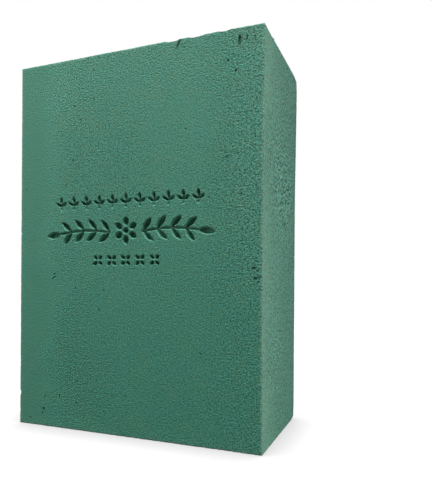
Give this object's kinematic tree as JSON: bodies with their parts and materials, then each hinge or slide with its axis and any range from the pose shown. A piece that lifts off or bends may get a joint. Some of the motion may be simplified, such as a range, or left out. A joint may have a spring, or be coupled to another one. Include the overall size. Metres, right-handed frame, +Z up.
{
  "type": "floral foam brick",
  "caption": "Rectangular block of rigid green open-cell floral foam with a shallow botanical ornament pressed into its front face, for holding flower stems.",
  "frame": {"origin": "middle of the end face that the brick stands on", "axes": "+Z up along the brick's length, X along its width, -Y out of the face with the pressed ornament"},
  "size_m": [0.163, 0.08, 0.23],
  "materials": {
    "foam": "matte"
  },
  "bodies": {
    "root": {"foam_brick": "foam"}
  },
  "joints": []
}
